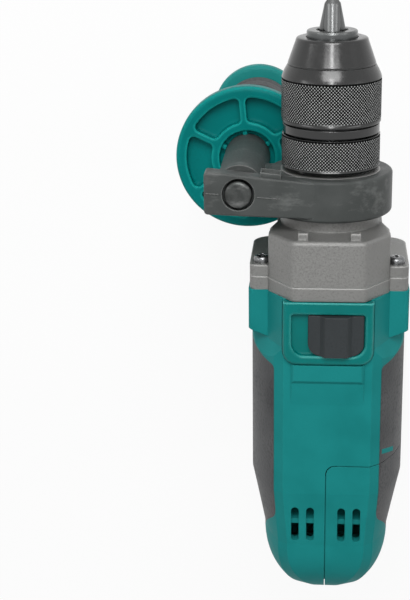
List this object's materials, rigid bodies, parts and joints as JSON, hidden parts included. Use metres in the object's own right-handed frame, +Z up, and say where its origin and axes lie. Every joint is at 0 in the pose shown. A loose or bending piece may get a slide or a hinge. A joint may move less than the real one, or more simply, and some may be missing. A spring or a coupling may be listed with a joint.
{
  "type": "power drill",
  "caption": "Corded percussion drill with a keyless chuck, geared motor in a moulded pistol-grip body, sliding mode lever and a clamped side handle between two guard flanges.",
  "frame": {"origin": "middle of the grip's flat base", "axes": "+Y along the spindle towards the chuck, +X to the right of someone holding the drill, +Z up"},
  "size_m": [0.1064, 0.2703, 0.207],
  "materials": {
    "teal_plastic": "fine grained moulding",
    "flange_plastic": "satin moulding",
    "soft_rubber": "soft grained rubber",
    "gland_rubber": "plain rubber",
    "dark_plastic": "fine grained moulding",
    "sleeve_plastic": "satin moulding",
    "cast_alloy": "blasted casting",
    "machined_steel": "ground and oiled",
    "lamination_steel": "stacked sheet",
    "copper": "varnished wire",
    "brass": "drawn",
    "carbon": "pressed carbon"
  },
  "bodies": {
    "drill": {"motor_housing": "teal_plastic", "handle_cover": "teal_plastic", "cover_screws": "machined_steel", "side_pad_left": "soft_rubber", "side_pad_right_front": "soft_rubber", "side_pad_right_rear": "soft_rubber", "grip_pad_left": "soft_rubber", "grip_pad_right": "soft_rubber", "mode_bezel": "teal_plastic", "gear_case_plate": "cast_alloy", "gear_housing": "cast_alloy", "gear_housing_screws": "machined_steel", "motor_front_bearing": "machined_steel", "motor_rear_bearing": "machined_steel", "field_core": "lamination_steel", "field_coils": "copper", "carbon_brushes": "carbon", "brush_holders": "brass", "layshaft_bushes": "brass", "spindle_front_bearing": "machined_steel", "spindle_rear_bearing": "machined_steel", "fixed_ratchet": "machined_steel", "switch": "dark_plastic", "cord_gland": "gland_rubber"},
    "armature": {"armature_shaft": "machined_steel", "armature_core": "lamination_steel", "armature_windings": "copper", "commutator": "copper", "cooling_fan": "dark_plastic"},
    "layshaft": {"lay_gear": "machined_steel", "layshaft": "machined_steel"},
    "spindle": {"spindle": "machined_steel", "spindle_gear": "machined_steel", "turning_ratchet": "machined_steel", "chuck_body": "machined_steel", "chuck_screw": "machined_steel", "chuck_band": "sleeve_plastic", "rear_sleeve": "sleeve_plastic"},
    "chuck_sleeve": {"front_sleeve": "sleeve_plastic", "jaw_nut": "machined_steel"},
    "jaw_1": {"jaw_1": "machined_steel"},
    "jaw_2": {"jaw_2": "machined_steel"},
    "jaw_3": {"jaw_3": "machined_steel"},
    "mode_lever": {"mode_lever": "dark_plastic"},
    "trigger": {"trigger": "dark_plastic"},
    "reverse_lever": {"reverse_lever": "dark_plastic"},
    "lock_button": {"lock_button": "dark_plastic"},
    "side_clamp": {"handle_clamp": "dark_plastic", "clamp_bolt": "machined_steel"},
    "side_grip": {"near_flange": "flange_plastic", "handle_core": "flange_plastic", "grip_sleeve": "soft_rubber", "clamp_nut": "machined_steel"}
  },
  "joints": [
    {"name": "chuck_spin", "type": "hinge", "parent": "drill", "child": "spindle", "pos_m": [0, 0.2, 0.168], "axis": [0, 1, 0], "continuous": true},
    {"name": "layshaft_spin", "type": "hinge", "parent": "drill", "child": "layshaft", "pos_m": [0, 0.125, 0.15], "axis": [0, 1, 0], "continuous": true},
    {"name": "armature_spin", "type": "hinge", "parent": "drill", "child": "armature", "pos_m": [0, 0.06, 0.168], "axis": [0, 1, 0], "continuous": true},
    {"name": "sleeve_turn", "type": "hinge", "parent": "spindle", "child": "chuck_sleeve", "pos_m": [0, 0.2, 0.168], "axis": [0, 1, 0], "range_deg": [0, 4600]},
    {"name": "jaw_1_slide", "type": "slide", "parent": "spindle", "child": "jaw_1", "axis": [0, -0.9744, 0.225], "range_m": [0, 0.02556]},
    {"name": "jaw_2_slide", "type": "slide", "parent": "spindle", "child": "jaw_2", "axis": [0.1948, -0.9744, -0.1125], "range_m": [0, 0.02556]},
    {"name": "jaw_3_slide", "type": "slide", "parent": "spindle", "child": "jaw_3", "axis": [-0.1948, -0.9744, -0.1125], "range_m": [0, 0.02556]},
    {"name": "mode_lever_slide", "type": "slide", "parent": "drill", "child": "mode_lever", "axis": [-1, 0, 0], "range_m": [0, 0.007]},
    {"name": "trigger_pull", "type": "slide", "parent": "drill", "child": "trigger", "axis": [0, -1, 0], "range_m": [0, 0.007], "stiffness_N_per_m": 900, "springref_m": -0.002},
    {"name": "reverse_lever_swing", "type": "hinge", "parent": "drill", "child": "reverse_lever", "pos_m": [0, 0.0275, 0.126], "axis": [0, 0, 1], "range_deg": [-10, 10]},
    {"name": "lock_button_press", "type": "slide", "parent": "drill", "child": "lock_button", "axis": [1, 0, 0], "range_m": [0, 0.0026], "stiffness_N_per_m": 900, "springref_m": -0.001},
    {"name": "side_handle_swing", "type": "hinge", "parent": "drill", "child": "side_clamp", "pos_m": [0, 0.154, 0.168], "axis": [0, 1, 0], "continuous": true},
    {"name": "side_grip_turn", "type": "hinge", "parent": "side_clamp", "child": "side_grip", "pos_m": [-0.0385, 0.1577, 0.1], "axis": [0, 0, 1], "continuous": true}
  ],
  "couplings": [
    {"joint": "layshaft_spin", "follows": "chuck_spin", "ratio": -2.6},
    {"joint": "armature_spin", "follows": "chuck_spin", "ratio": 9.1},
    {"joint": "jaw_1_slide", "follows": "sleeve_turn", "m_per_rad": 0.00031831},
    {"joint": "jaw_2_slide", "follows": "sleeve_turn", "m_per_rad": 0.00031831},
    {"joint": "jaw_3_slide", "follows": "sleeve_turn", "m_per_rad": 0.00031831}
  ]
}
